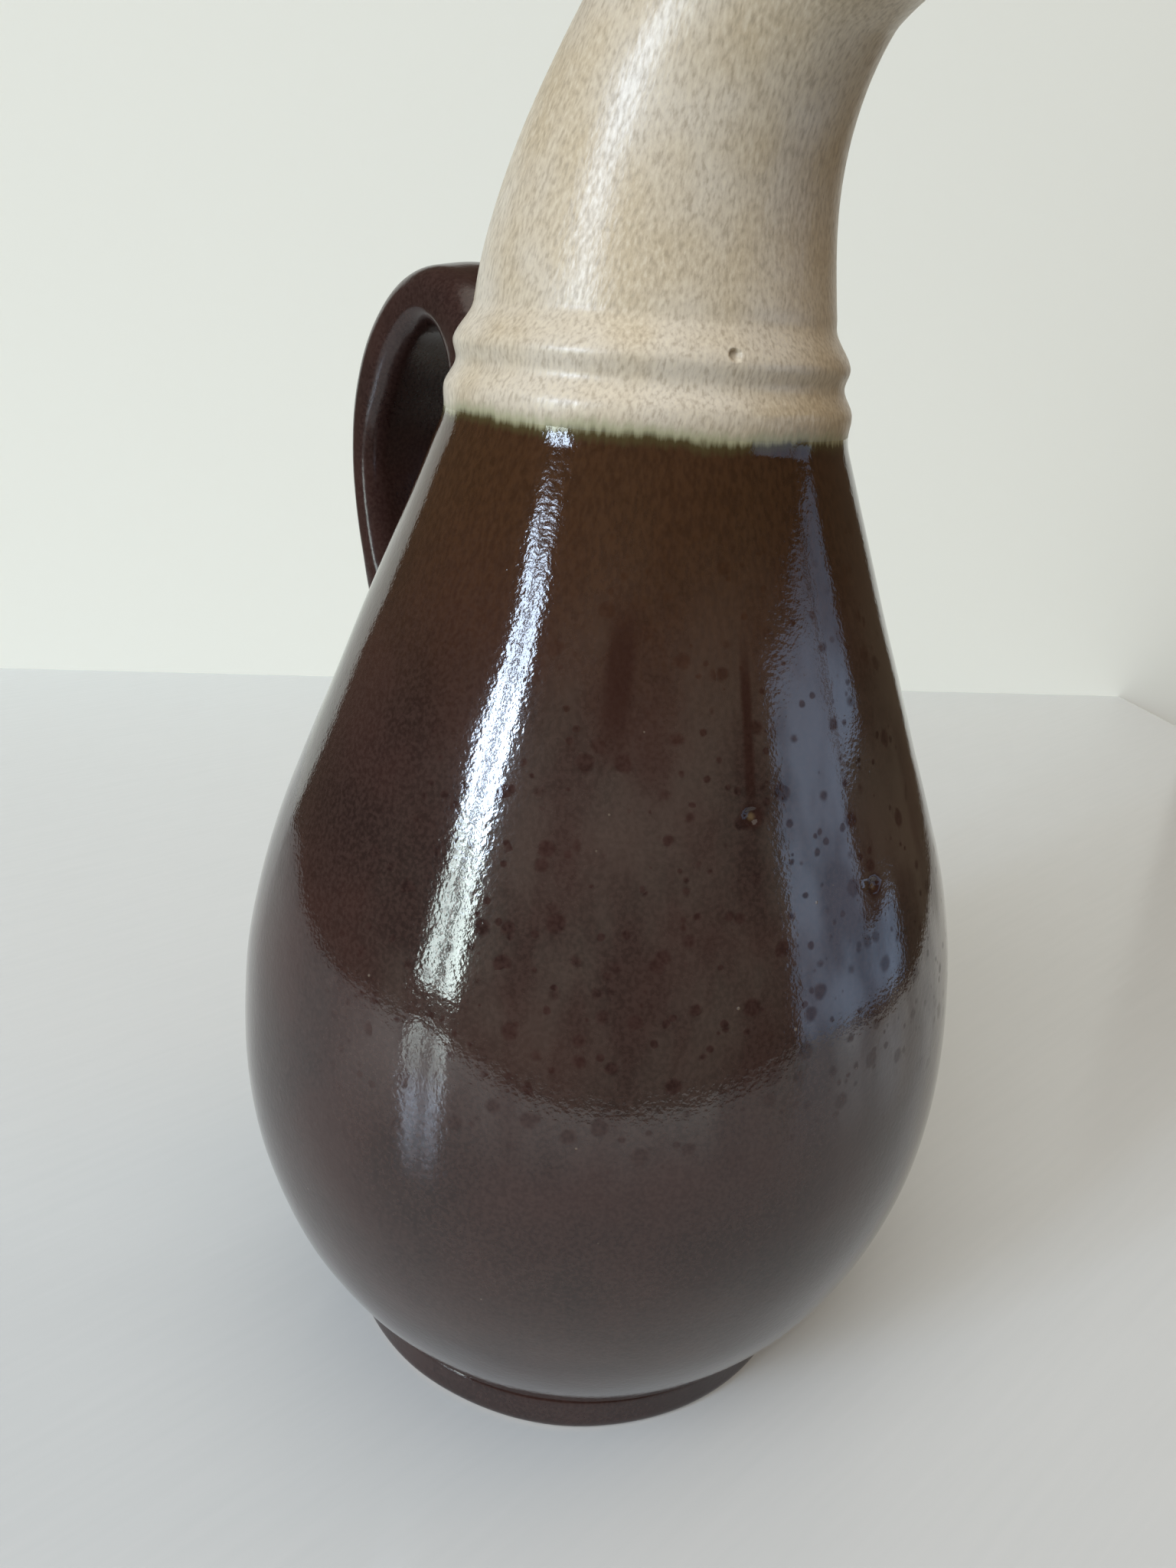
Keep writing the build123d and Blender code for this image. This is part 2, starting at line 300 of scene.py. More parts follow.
def make_pot():
    belly_start = asin((foot_seat - BELLY_HEIGHT) / belly_arc)
    inner_belly = belly_arc - POT_WALL
    inner_shoulder = SHOULDER_ARC - POT_WALL
    bore = POT_TOP_RADIUS - POT_WALL / cos(shoulder_slope)
    floor = foot_seat + POT_FLOOR
    corner_height = floor + FLOOR_CORNER
    corner_start = asin((corner_height - BELLY_HEIGHT) / (inner_belly - FLOOR_CORNER))
    corner_centre = (belly_centre[0] + (inner_belly - FLOOR_CORNER) * cos(corner_start), corner_height)
    shoulder_end = arc(shoulder_centre, SHOULDER_ARC, shoulder_slope, 0, 1)[0]
    inner_end = arc(shoulder_centre, inner_shoulder, shoulder_slope, 0, 1)[0]
    flare_start = (-pot_side(collar_foot - FLARE_HEIGHT).x, collar_foot - FLARE_HEIGHT)
    spigot = foot_radius - FOOT_WIDTH
    profile = line((POLE, pot_underside), (spigot, pot_underside), 6)
    profile += line((spigot, pot_underside), (spigot, foot_seat))
    profile += line((spigot, foot_seat), (foot_radius, foot_seat))
    profile += arc(belly_centre, belly_arc, belly_start, 0, 40)
    profile += arc(shoulder_centre, SHOULDER_ARC, 0, shoulder_slope, 30)
    profile += line(shoulder_end, flare_start, 40)
    for share in spread(0, 1, 8)[1:]:
        height = flare_start[1] + FLARE_HEIGHT * share
        profile.append((-pot_side(height).x + LINE_FLARE * share**2, height))
    profile += line((POT_TOP_RADIUS + LINE_FLARE, collar_foot), (bore, collar_foot), 3)
    profile += throwing_ridges(
        line((bore, collar_foot), inner_end, 60)
        + arc(shoulder_centre, inner_shoulder, shoulder_slope, 0, 48)
        + arc(belly_centre, inner_belly, 0, corner_start, 44)
    )
    profile += arc(corner_centre, FLOOR_CORNER, corner_start, -pi / 2, 10)
    profile += line((corner_centre[0], floor), (POLE, floor), 10)
    pot = throw("pot_glazed", upright(profile))
    for blister in BLISTERS:
        press_bubble(pot, *on_shoulder(*blister), BLISTER_RADIUS, BLISTER_DEPTH)
    return pot


def collar_radius(height):
    """The collar's outer radius at a height above its foot: a smooth curve over its two ridges."""
    heights = [0, LOWER_RIDGE, GROOVE, UPPER_RIDGE, collar_top - collar_foot]
    radii = [
        POT_TOP_RADIUS + LINE_FLARE,
        lower_crest,
        lower_crest - RIDGE_DEPTH,
        lower_crest - RIDGE_STEP,
        NECK_RADIUS,
    ]
    neck_slope = NECK_EVENNESS * (THROAT_RADIUS - NECK_RADIUS) / THROAT_TRAVEL
    slopes = [(r1 - r0) / (h1 - h0) for h0, h1, r0, r1 in zip(heights, heights[2:], radii, radii[2:])]
    slopes = [0, *slopes, neck_slope]
    step = max(index for index in range(len(heights) - 1) if heights[index] <= height)
    span = heights[step + 1] - heights[step]
    share = (height - heights[step]) / span
    rest = 1 - share
    return (
        radii[step] * ease(rest)
        + radii[step + 1] * ease(share)
        + span * share * rest * (slopes[step] * rest - slopes[step + 1] * share)
    )


def pinhole_place():
    """The middle of the pinhole on the collar and the direction out of it."""
    outward = Vector((sin(PINHOLE_AZIMUTH), -cos(PINHOLE_AZIMUTH), 0))
    return outward * collar_radius(PINHOLE_RISE) + Vector((0, 0, collar_foot + PINHOLE_RISE)), outward


def select_near(piece, place, distance):
    """Selects, in edit mode, the points of a piece within a distance of a place."""
    bpy.ops.object.mode_set(mode="OBJECT")
    for part in (*piece.data.polygons, *piece.data.edges):
        part.select = False
    for point in piece.data.vertices:
        point.select = (point.co - place).length < distance
    bpy.ops.object.mode_set(mode="EDIT")
    bpy.ops.mesh.select_mode(type="VERT")


def press_bubble(piece, place, outward, radius, depth):
    """Cuts a piece's mesh finer round a burst bubble and pushes it in."""
    select_near(piece, place, BUBBLE_REACH * radius)
    bpy.ops.mesh.subdivide(number_cuts=BUBBLE_CUTS)
    select_near(piece, place, radius)
    bpy.ops.transform.translate(
        value=tuple(-outward * depth),
        use_proportional_edit=True,
        proportional_edit_falloff="SMOOTH",
        proportional_size=BUBBLE_LIP * radius,
    )
    bpy.ops.object.mode_set(mode="OBJECT")


def make_collar():
    bore = POT_TOP_RADIUS - POT_WALL / cos(shoulder_slope)
    neck_bore = NECK_RADIUS - NECK_WALL
    profile = line((bore, collar_foot), (POT_TOP_RADIUS + LINE_FLARE, collar_foot), 2)
    profile += [(collar_radius(h), collar_foot + h) for h in spread(0, collar_top - collar_foot, 56)]
    profile += line((NECK_RADIUS, collar_top), (neck_bore, collar_top), 2)
    profile += line((neck_bore, collar_top), (bore, collar_foot), 10)
    collar = throw("collar_glazed", upright(profile))
    press_bubble(collar, *pinhole_place(), PINHOLE_RADIUS, PINHOLE_DEPTH)
    return collar


def neck_ring(travel, inset=0.0, forward=0.0):
    """A ring across the neck at a length of its centreline, drawn in by an inset and set forward."""
    rise = min(travel, NECK_RISE)
    bent = min(travel - rise, bend_length)
    straight = travel - rise - bent + forward
    turn = bent / NECK_BEND
    along = Vector((sin(turn), 0, cos(turn)))
    front = Vector((cos(turn), 0, -sin(turn)))
    bend_end = Vector((NECK_BEND * (1 - cos(turn)), 0, collar_top + rise + NECK_BEND * sin(turn)))
    if travel <= THROAT_TRAVEL:
        share = travel / THROAT_TRAVEL
        taper = NECK_EVENNESS * share + (1 - NECK_EVENNESS) * ease(share)
        width = NECK_RADIUS + (THROAT_RADIUS - NECK_RADIUS) * taper
        reach = 0.0
        hollow = NECK_HOLLOW * sin(pi * share) ** NECK_HOLLOW_POWER
    else:
        share = (travel - THROAT_TRAVEL) / (neck_length - THROAT_TRAVEL)
        width = THROAT_RADIUS + (MOUTH_RADIUS - THROAT_RADIUS) * share**2
        reach = LIP_REACH * share**2
        hollow = 0.0
    centre = bend_end + along * straight + front * (reach + hollow) / 2
    return Ring(centre, turn, width + (reach - hollow) / 2 - inset, width - inset)


def make_neck():
    rim = NECK_WALL / 2
    lip = neck_length - rim
    travels = spread(0, NECK_RISE, 4)[:-1] + spread(NECK_RISE, lip, 60)
    rings = [neck_ring(0, inset) for inset in spread(NECK_WALL, 0, 2)[:-1]]
    rings += [neck_ring(travel) for travel in travels]
    rings += [
        neck_ring(lip, rim - rim * cos(angle), rim * sin(angle)) for angle in spread(0, pi, 14)[1:-1]
    ]
    rings += [neck_ring(travel, NECK_WALL) for travel in reversed(travels)]
    return throw("neck_glazed", rings)


def behind(radius, height):
    """A profile point on the handle's side of the jug."""
    return Vector((-radius, 0, height))


def across(inner, outer, width, pressed=False):
    """A ring across the handle, from a point of its inner side to one of its outer side."""
    reach = outer - inner
    # The section's share under the rounded outer face
    flat = CROWN_THICKNESS / (CROWN_THICKNESS + FACE_CROWN)
    turn = atan2(-reach.z, reach.x)
    return Ring(inner + reach * flat / 2, turn, reach.length * flat, width, pressed)


def between(start, middle, end, share):
    """A point on the curve from start to end that heads for middle at both ends."""
    return start * (1 - share) ** 2 + middle * 2 * share * (1 - share) + end * share**2


def root_ring(inner, outer, share):
    """A ring of a handle root, at a share of the way from the strap to the wall, where the clay spreads."""
    flare = ROOT_FLARE * share**ROOT_FLARE_POWER
    along = (outer - inner).normalized() * flare
    width = strap_width + (ROOT_WIDTH - strap_width) * ease(share) + 2 * flare
    if share < 1:
        return across(inner - along, outer + along, width)
    off = Vector((-ROOT_CLEARANCE, 0, 0))
    return across(inner - along + off, outer + along + off, width, pressed=True)


def strap_pair(angle):
    """The strap's inner and outer points at an angle of its crown, or of its leg where that is negative."""
    reach = CROWN_ARC if angle >= 0 else LEG_ARC
    centre = (handle_reach - reach, handle_top - CROWN_ARC)
    thinned = min(max((THIN_START - reach * angle) / THIN_LENGTH, 0), 1)
    thickness = CROWN_THICKNESS + (LEG_THICKNESS - CROWN_THICKNESS) * ease(thinned)
    return [behind(*arc(centre, reach - inset, angle, 0, 1)[0]) for inset in (thickness, 0)]


def pot_side(height):
    """The pot's surface at a height of its straight shoulder, on the handle's side."""
    return behind(POT_TOP_RADIUS + (collar_foot - height) * shoulder_taper, height)


def on_shoulder(azimuth, height):
    """A place on the pot's straight shoulder and the direction out of it."""
    radius = -pot_side(height).x
    side = Vector((sin(azimuth), -cos(azimuth), 0))
    up = Vector((0, 0, 1))
    return side * radius + up * height, side * cos(shoulder_slope) + up * sin(shoulder_slope)


def select_long_edges(piece, length):
    """Selects, in edit mode, the edges of a piece that are longer than a length."""
    bpy.ops.mesh.select_mode(type="EDGE")
    bpy.ops.mesh.select_all(action="DESELECT")
    bpy.ops.object.mode_set(mode="OBJECT")
    for edge in piece.data.edges:
        start, end = (piece.data.vertices[corner].co for corner in edge.vertices)
        edge.select = (end - start).length > length
    bpy.ops.object.mode_set(mode="EDIT")


def handle_rings():
    """Rings across the handle, from its upper root over the crown and down to its lower root."""
    # Upper root: from the pot and the neck out to the crown
    foot = pot_side(UPPER_ROOT_FOOT)
    root_end = acos((NECK_RADIUS + CROWN_ARC - handle_reach) / CROWN_ARC)
    dip = Vector((0, 0, -ROOT_DROP))
    arch = behind(ARCH_REACH, ARCH_HEIGHT)
    inner_start = strap_pair(ROOT_START)[0]
    rings = []
    for share in spread(1, 0, UPPER_ROOT_STEPS)[:-1]:
        inner = between(inner_start, arch, foot, share)
        outer = strap_pair(ROOT_START + (root_end - ROOT_START) * share)[1] + dip * share**ROOT_DROP_POWER
        rings.append(root_ring(inner, outer, share))
    # Strap
    angles = spread(ROOT_START, 0, STRAP_STEPS) + spread(0, -LEG_TURN, STRAP_STEPS)[1:]
    rings += [across(*strap_pair(angle), strap_width) for angle in angles]
    # Lower root: in to the pot's shoulder
    inner_end, outer_end = pot_side(LOWER_ROOT_TOP), pot_side(LOWER_ROOT_FOOT)
    outward = Vector((-cos(shoulder_slope), 0, sin(shoulder_slope)))
    inner_start, outer_start = strap_pair(-LEG_TURN)
    inner_middle = (inner_start + inner_end) / 2 + outward * LOWER_INNER_SWELL
    outer_middle = (outer_start + outer_end) / 2 + outward * LOWER_OUTER_SWELL
    for share in spread(0, 1, LOWER_ROOT_STEPS)[1:]:
        inner = between(inner_start, inner_middle, inner_end, share)
        outer = between(outer_start, outer_middle, outer_end, share)
        rings.append(root_ring(inner, outer, share))
    return rings


def strap_section():
    """Starts the handle, in edit mode, as a flat section with round edges and a full outer face."""
    bpy.ops.object.select_all(action="DESELECT")
    bpy.ops.mesh.primitive_plane_add(size=1)
    piece = bpy.context.object
    piece.name = "handle_glazed"
    bpy.ops.object.mode_set(mode="EDIT")
    bpy.ops.mesh.select_all(action="SELECT")
    bpy.ops.transform.resize(value=(CROWN_THICKNESS, strap_width, 1), center_override=(0, 0, 0))
    bpy.ops.mesh.bevel(offset=EDGE_ROUNDING, segments=EDGE_SEGMENTS, affect="VERTICES")
    select_long_edges(piece, EDGE_ROUNDING)
    bpy.ops.mesh.subdivide(number_cuts=FACE_CUTS)
    select_near(piece, Vector((CROWN_THICKNESS / 2, 0, 0)), WELD)
    bpy.ops.transform.translate(
        value=(FACE_CROWN, 0, 0),
        use_proportional_edit=True,
        proportional_edit_falloff="SMOOTH",
        proportional_size=strap_width / 2,
    )
    bpy.ops.mesh.select_all(action="SELECT")
    return piece


def make_handle(jug):
    rings = handle_rings()
    first = rings[0]
    piece = strap_section()
    bpy.ops.transform.resize(
        value=(first.depth / CROWN_THICKNESS, first.width / strap_width, 1), center_override=(0, 0, 0)
    )
    bpy.ops.transform.rotate(value=-first.turn, orient_axis="Y", center_override=(0, 0, 0))
    bpy.ops.transform.translate(value=tuple(first.centre))
    draw_out(piece, rings)
    close_up(piece)
    press_in(piece, jug)
    refine = piece.modifiers.new("smooth clay", "SUBSURF")
    refine.levels = 1
    refine.render_levels = 1
    bpy.ops.object.modifier_apply(modifier=refine.name)
    bpy.ops.object.shade_smooth()
    return piece


def press_in(piece, jug):
    """Presses the ends of a piece's roots into the jug's wall."""
    bpy.ops.object.select_all(action="DESELECT")
    for part in jug:
        part.select_set(True)
    bpy.context.view_layer.objects.active = jug[0]
    bpy.ops.object.duplicate()
    bpy.ops.object.join()
    skin = bpy.context.object
    bpy.ops.object.select_all(action="DESELECT")
    piece.select_set(True)
    bpy.context.view_layer.objects.active = piece
    press = piece.modifiers.new("press in", "SHRINKWRAP")
    press.target = skin
    press.wrap_method = "PROJECT"
    press.use_project_x = True
    press.wrap_mode = "ABOVE_SURFACE"
    press.offset = -ROOT_SINK
    press.vertex_group = ROOT_ENDS
    bpy.ops.object.modifier_apply(modifier=press.name)
    piece.vertex_groups.clear()
    bpy.data.objects.remove(skin)


# Materials, with the sizes of their patterns in millimetres. A Map Range node's inputs are 0 for the value,
# 1 and 2 for the span that it comes from, and 3 and 4 for the one that it goes to. A Mix node's inputs are
# 0 for the share, and 6 and 7 for the colours.
SMOOTH = {"interpolation_type": "SMOOTHSTEP"}
COLOURS = {"data_type": "RGBA"}
NOISE_LOW = 0.3  # the span that most of a noise lies in
NOISE_HIGH = 0.7
GRAIN_LOW = 0.32  # a narrower span, which gives fine grain and streaks more contrast
GRAIN_HIGH = 0.68
FILM_SIDE = (0.94, -0.34, 0)  # direction of the side that carries the grey film, whose grey is partly a painted sheen
GLAZE_IOR = 1.52
GLAZE_ROUGHNESS = 0.07
HANDLE_ROUGHNESS = 0.2  # the handle's glaze is less smooth
FILM_IOR = 1.9  # the film's iron crystals make it mirror more than the glass
FILM_ROUGHNESS = 0.1
BROWN_CLOUD = 24
BROWN_GRAIN = 0.75  # the real grain is about 0.2, too fine to show, so it is drawn coarser
GRAIN_SHARE = 0.42  # how much of the grain's own brown it adds to the glass
AMBER_STREAK = 0.8  # too fine to show as well, and drawn coarser
SPOT_WOBBLE = 2.5  # size of the waves that keep an oil spot from a perfect circle
SPOT_DRIFT = 0.9  # and how far they move its edge
FILM_PATCH = 12
GLAZE_RUN_SHAPE = (1, 1, 0.3)  # long in the direction with the small number, as are the next shapes
FILM_GREY_AND_SHEEN = 0.12  # how much grey the film adds to the glass: partly the film's own colour, partly a painted sheen
PIT_PALENESS = 0.45
PEEL = 0.8  # orange peel of a glossy glaze
SWELL = 4.5  # slower waves under it
SWELL_SHARE = 1.4  # their height against the orange peel's
PEEL_DEPTH = 0.03
RUN_DARKNESS = 0.6
LINE_RUN = 0.9  # width of the short runs along the line between the glazes
LINE_RUN_DEPTH = 0.3
LINE_RUN_SHAPE = (1, 1, 0.15)
LINE_WAVE = 14  # length of the line's slow waves
LINE_WAVE_DEPTH = 0.5
TOASTED_HEIGHT = 55  # how far under the line the brown glaze starts to turn warmer
TOASTED_FULL = 4  # and where it is warmest
TOASTED_SHARE = 0.8
CLAY_GRIT = 0.7  # real grit is about 0.3, too fine to show, so it is drawn coarser
BARE_LOW = 0.4  # heights between which the foot's bare clay ends
BARE_HIGH = 0.9
BEIGE_CLOUD = 20
BEIGE_SPECK = 0.6  # real specks are about 0.3, too fine to show, so they are drawn coarser
SPECK_SHARE = 0.6  # how much of a speck's own colour it adds to the beige
BEIGE_RUN_SHAPE = (1, 1, 0.4)
BEIGE_LEAN = radians(12)  # how far the specks lean with the neck
BEIGE_GRAIN = 1.0
BEIGE_GRAIN_DEPTH = 0.08
BEIGE_IOR = 1.6
BEIGE_ROUGHNESS = 0.29
SPECK_ROUGHNESS = 0.37  # a dark speck is less smooth than the glaze round it
BRUSH_STROKE = 2.2
BRUSH_SHAPE = (1, 0.06, 1)
BRUSH_DEPTH = 0.05
TABLE_ROUGHNESS = 0.15
TABLE_IOR = 1.5
WALL_MOTTLE = 300
WALL_ROUGHNESS = 0.5


def colour(code):
    """An sRGB hex code as the linear colour that shaders take."""
    shares = [int(code[place : place + 2], 16) / 255 for place in (1, 3, 5)]
    return [*(s / 12.92 if s <= 0.04045 else ((s + 0.055) / 1.055) ** 2.4 for s in shares), 1.0]


def per(size):
    """The texture scale that gives a pattern of a size in millimetres."""
    return 1 / (size * MM)


def add(tree, kind, inputs, output=0, **settings):
    """Adds a node with its settings and inputs, which are values or outputs, and gives its own output."""
    node = tree.nodes.new("ShaderNode" + kind)
    for name, value in settings.items():
        setattr(node, name, value)
    for name, value in inputs.items():
        if isinstance(value, bpy.types.NodeSocket):
            tree.links.new(value, node.inputs[name])
        else:
            node.inputs[name].default_value = value
    return node.outputs[output] if node.outputs else None


def new_material(name):
    """A material with an empty node tree, and the place on the piece in metres with its height."""
    material = bpy.data.materials.new(name)
    material.use_nodes = True
    tree = material.node_tree
    tree.nodes.clear()
    place = add(tree, "TexCoord", {}, "Object")
    return material, tree, place, add(tree, "SeparateXYZ", {0: place}, "Z")


def discs(tree, place, cell, share, largest, edge):
    """Soft round discs, at most one to a cell: 1 in their middle and 0 outside. Sizes in millimetres."""
    cells = {"Vector": place, "Scale": per(cell)}
    distance = add(tree, "TexVoronoi", cells, "Distance")
    tint = add(tree, "TexVoronoi", cells, "Color")
    draw = add(tree, "SeparateColor", {0: tint}, "Red")
    radius = add(tree, "MapRange", {0: draw, 1: 1 - share, 2: 1, 3: 0, 4: largest / cell}, **SMOOTH)
    depth = add(tree, "Math", {0: radius, 1: distance}, operation="SUBTRACT")
    return add(tree, "MapRange", {0: depth, 1: 0, 2: edge / cell}, **SMOOTH)


def glaze_line(tree, place, height, brown, beige):
    """Where the beige glaze runs down over the brown one: mint, then olive, in fine short runs."""
    runs = add(tree, "Mapping", {"Vector": place, "Scale": LINE_RUN_SHAPE})
    fine = add(tree, "TexNoise", {"Vector": runs, "Scale": per(LINE_RUN), "Detail": 3.0})
    slow = add(tree, "TexNoise", {"Vector": place, "Scale": per(LINE_WAVE)})
    wavy = height
    for wave, depth in ((fine, LINE_RUN_DEPTH * MM), (slow, LINE_WAVE_DEPTH * MM)):
        shift = add(tree, "MapRange", {0: wave, 1: NOISE_LOW, 2: NOISE_HIGH, 3: -depth, 4: depth}, **SMOOTH)
        wavy = add(tree, "Math", {0: wavy, 1: shift}, operation="ADD")
    result = brown
    for tint, start, end in (
        (colour("#453c25"), -2.2 * MM, -0.6 * MM),
        (colour("#98977a"), -0.9 * MM, 0.5 * MM),
        (beige, -0.2 * MM, 2.2 * MM),
    ):
        share = add(tree, "MapRange", {0: wavy, 1: collar_foot + start, 2: collar_foot + end}, **SMOOTH)
        result = add(tree, "Mix", {0: share, 6: result, 7: tint}, 2, **COLOURS)
    return result


def glaze_marks(tree, place):
    """The pot's runs with the halos of its burst bubbles, then the bubbles: 1 inside and 0 outside."""
    breaks = burst = 0.0
    for azimuth, foot, half_width in RUNS:
        offset = add(tree, "VectorMath", {0: place, 1: on_shoulder(azimuth, foot)[0]}, operation="SUBTRACT")
        along_side = (cos(azimuth), sin(azimuth), 0)
        aside = add(tree, "VectorMath", {0: offset, 1: along_side}, "Value", operation="DOT_PRODUCT")
        distance = add(tree, "Math", {0: aside}, operation="ABSOLUTE")
        rise = add(tree, "SeparateXYZ", {0: offset}, "Z")
        narrow = add(tree, "MapRange", {0: distance, 1: half_width, 2: 0.3 * half_width}, **SMOOTH)
        above = add(tree, "MapRange", {0: rise, 1: 0, 2: 4 * half_width}, **SMOOTH)
        below = add(tree, "MapRange", {0: rise, 1: RUN_LENGTH, 2: 0.6 * RUN_LENGTH}, **SMOOTH)
        run = add(tree, "Math", {0: narrow, 1: above}, operation="MULTIPLY")
        short = add(tree, "Math", {0: run, 1: below}, operation="MULTIPLY")
        breaks = add(tree, "Math", {0: short, 1: breaks}, operation="MAXIMUM")
    for azimuth, middle in BLISTERS:
        spot = on_shoulder(azimuth, middle)[0]
        distance = add(tree, "VectorMath", {0: place, 1: spot}, "Value", operation="DISTANCE")
        halo = add(tree, "MapRange", {0: distance, 1: BLISTER_HALO, 2: 0.5 * BLISTER_HALO}, **SMOOTH)
        edge = {0: distance, 1: 1.4 * BLISTER_RADIUS, 2: 0.6 * BLISTER_RADIUS}
        inside = add(tree, "MapRange", edge, **SMOOTH)
        breaks = add(tree, "Math", {0: halo, 1: breaks}, operation="MAXIMUM")
        burst = add(tree, "Math", {0: inside, 1: burst}, operation="MAXIMUM")
    return breaks, burst


def brown_ground(tree, place, height, breaks=0.0):
    """The brown glaze's colour, the grey film on it, whose grey is partly a painted sheen, and its pale
    pits.

    Iron makes the glass nearly black. On one side it carries a thin film that mirrors more than the glass
    does, and round oil spots break the film.
    """
    clouds = add(tree, "TexNoise", {"Vector": place, "Scale": per(BROWN_CLOUD), "Detail": 4.0})
    cloudy = add(tree, "MapRange", {0: clouds, 1: NOISE_LOW, 2: NOISE_HIGH}, **SMOOTH)
    melt = add(tree, "Mix", {0: cloudy, 6: colour("#231716"), 7: colour("#34211e")}, 2, **COLOURS)
    grain = add(tree, "TexNoise", {"Vector": place, "Scale": per(BROWN_GRAIN), "Detail": 3.0})
    grains = {0: grain, 1: GRAIN_LOW, 2: GRAIN_HIGH, 4: GRAIN_SHARE}
    grainy = add(tree, "MapRange", grains, **SMOOTH)
    ground = add(tree, "Mix", {0: grainy, 6: melt, 7: colour("#453430")}, 2, **COLOURS)

    wobble = add(tree, "TexNoise", {"Vector": place, "Scale": per(SPOT_WOBBLE)}, "Color")
    drift = {0: wobble, 1: (SPOT_DRIFT * MM,) * 3, 2: place}
    drifted = add(tree, "VectorMath", drift, "Vector", operation="MULTIPLY_ADD")
    large = discs(tree, drifted, cell=4.4, share=1.0, largest=1.9, edge=0.8)
    small = discs(tree, drifted, cell=2.5, share=0.9, largest=0.9, edge=0.4)
    spots = add(tree, "Math", {0: large, 1: small}, operation="MAXIMUM")
    runs = add(tree, "Mapping", {"Vector": place, "Scale": GLAZE_RUN_SHAPE})
    patchy = add(tree, "TexNoise", {"Vector": runs, "Scale": per(FILM_PATCH), "Detail": 3.0})
    side = add(tree, "VectorMath", {0: place, 1: FILM_SIDE}, "Value", operation="DOT_PRODUCT")
    bare = add(tree, "Math", {0: spots, 1: breaks}, operation="MAXIMUM")
    film = add(tree, "Math", {0: 1.0, 1: bare}, operation="SUBTRACT")
    for value, start, end, least in (
        (patchy, 0.36, 0.6, 0.25),
        (side, 22 * MM, 52 * MM, 0.05),
        (height, 75 * MM, 110 * MM, 0.0),
        (height, 190 * MM, 140 * MM, 0.3),
    ):
        share = add(tree, "MapRange", {0: value, 1: start, 2: end, 3: least}, **SMOOTH)
        film = add(tree, "Math", {0: film, 1: share}, operation="MULTIPLY")
    # Painted sheen: part of the grey mixed in here stands in for the haze of light that the film mirrors
    grey = add(tree, "Math", {0: film, 1: FILM_GREY_AND_SHEEN}, operation="MULTIPLY")
    film_and_painted_sheen = add(tree, "Mix", {0: grey, 6: ground, 7: colour("#77746c")}, 2, **COLOURS)

    pits = discs(tree, place, cell=5.0, share=0.5, largest=0.35, edge=0.2)
    pale = add(tree, "Math", {0: pits, 1: PIT_PALENESS}, operation="MULTIPLY")
    pitted = add(tree, "Mix", {0: pale, 6: film_and_painted_sheen, 7: colour("#8d8273")}, 2, **COLOURS)
    return pitted, film, pits


def glossy_glaze(tree, place, base, film, pits, roughness=GLAZE_ROUGHNESS):
    """The glaze's glassy surface with its orange peel, and the film as a coat of higher index."""
    peel = add(tree, "TexNoise", {"Vector": place, "Scale": per(PEEL)})
    swell = add(tree, "TexNoise", {"Vector": place, "Scale": per(SWELL)})
    relief = add(tree, "Math", {0: swell, 1: SWELL_SHARE, 2: peel}, operation="MULTIPLY_ADD")
    pocked = add(tree, "Math", {0: relief, 1: pits}, operation="SUBTRACT")
    bump = add(tree, "Bump", {"Strength": 1.0, "Distance": PEEL_DEPTH * MM, "Height": pocked})
    surface = {
        "Base Color": base,
        "Roughness": roughness,
        "IOR": GLAZE_IOR,
        "Normal": bump,
        "Coat Weight": film,
        "Coat Roughness": FILM_ROUGHNESS,
        "Coat IOR": FILM_IOR,
        "Coat Normal": bump,
    }
    shader = add(tree, "BsdfPrincipled", surface)
    add(tree, "OutputMaterial", {"Surface": shader})


def pot_glaze():
    """Iron-brown stoneware glaze, fired glossy, and warmer where the beige one laps over it."""
    material, tree, place, height = new_material("iron_brown_glaze_with_line")
    breaks, burst = glaze_marks(tree, place)
    brown, film, pits = brown_ground(tree, place, height, breaks)
    warm_start = collar_foot - TOASTED_HEIGHT * MM
    warm_end = collar_foot - TOASTED_FULL * MM
    near_line = {0: height, 1: warm_start, 2: warm_end, 4: TOASTED_SHARE}
    warmth = add(tree, "MapRange", near_line, **SMOOTH)
    runs = add(tree, "Mapping", {"Vector": place, "Scale": GLAZE_RUN_SHAPE})
    streaks = add(tree, "TexNoise", {"Vector": runs, "Scale": per(AMBER_STREAK), "Detail": 3.0})
    streaky = add(tree, "MapRange", {0: streaks, 1: GRAIN_LOW, 2: GRAIN_HIGH}, **SMOOTH)
    amber = add(tree, "Mix", {0: streaky, 6: colour("#342110"), 7: colour("#412b18")}, 2, **COLOURS)
    toasted = add(tree, "Mix", {0: warmth, 6: brown, 7: amber}, 2, **COLOURS)
    dark = add(tree, "Math", {0: breaks, 1: RUN_DARKNESS}, operation="MULTIPLY")
    streaked = add(tree, "Mix", {0: dark, 6: toasted, 7: colour("#2b1814")}, 2, **COLOURS)
    blistered = add(tree, "Mix", {0: burst, 6: streaked, 7: colour("#5f4f3a")}, 2, **COLOURS)
    base = glaze_line(tree, place, height, blistered, colour("#bdb29b"))
    glossy_glaze(tree, place, base, film, pits)
    return material


def handle_glaze():
    """The same iron-brown glaze, all over the handle."""
    material, tree, place, height = new_material("iron_brown_glaze")
    glossy_glaze(tree, place, *brown_ground(tree, place, height), roughness=HANDLE_ROUGHNESS)
    return material


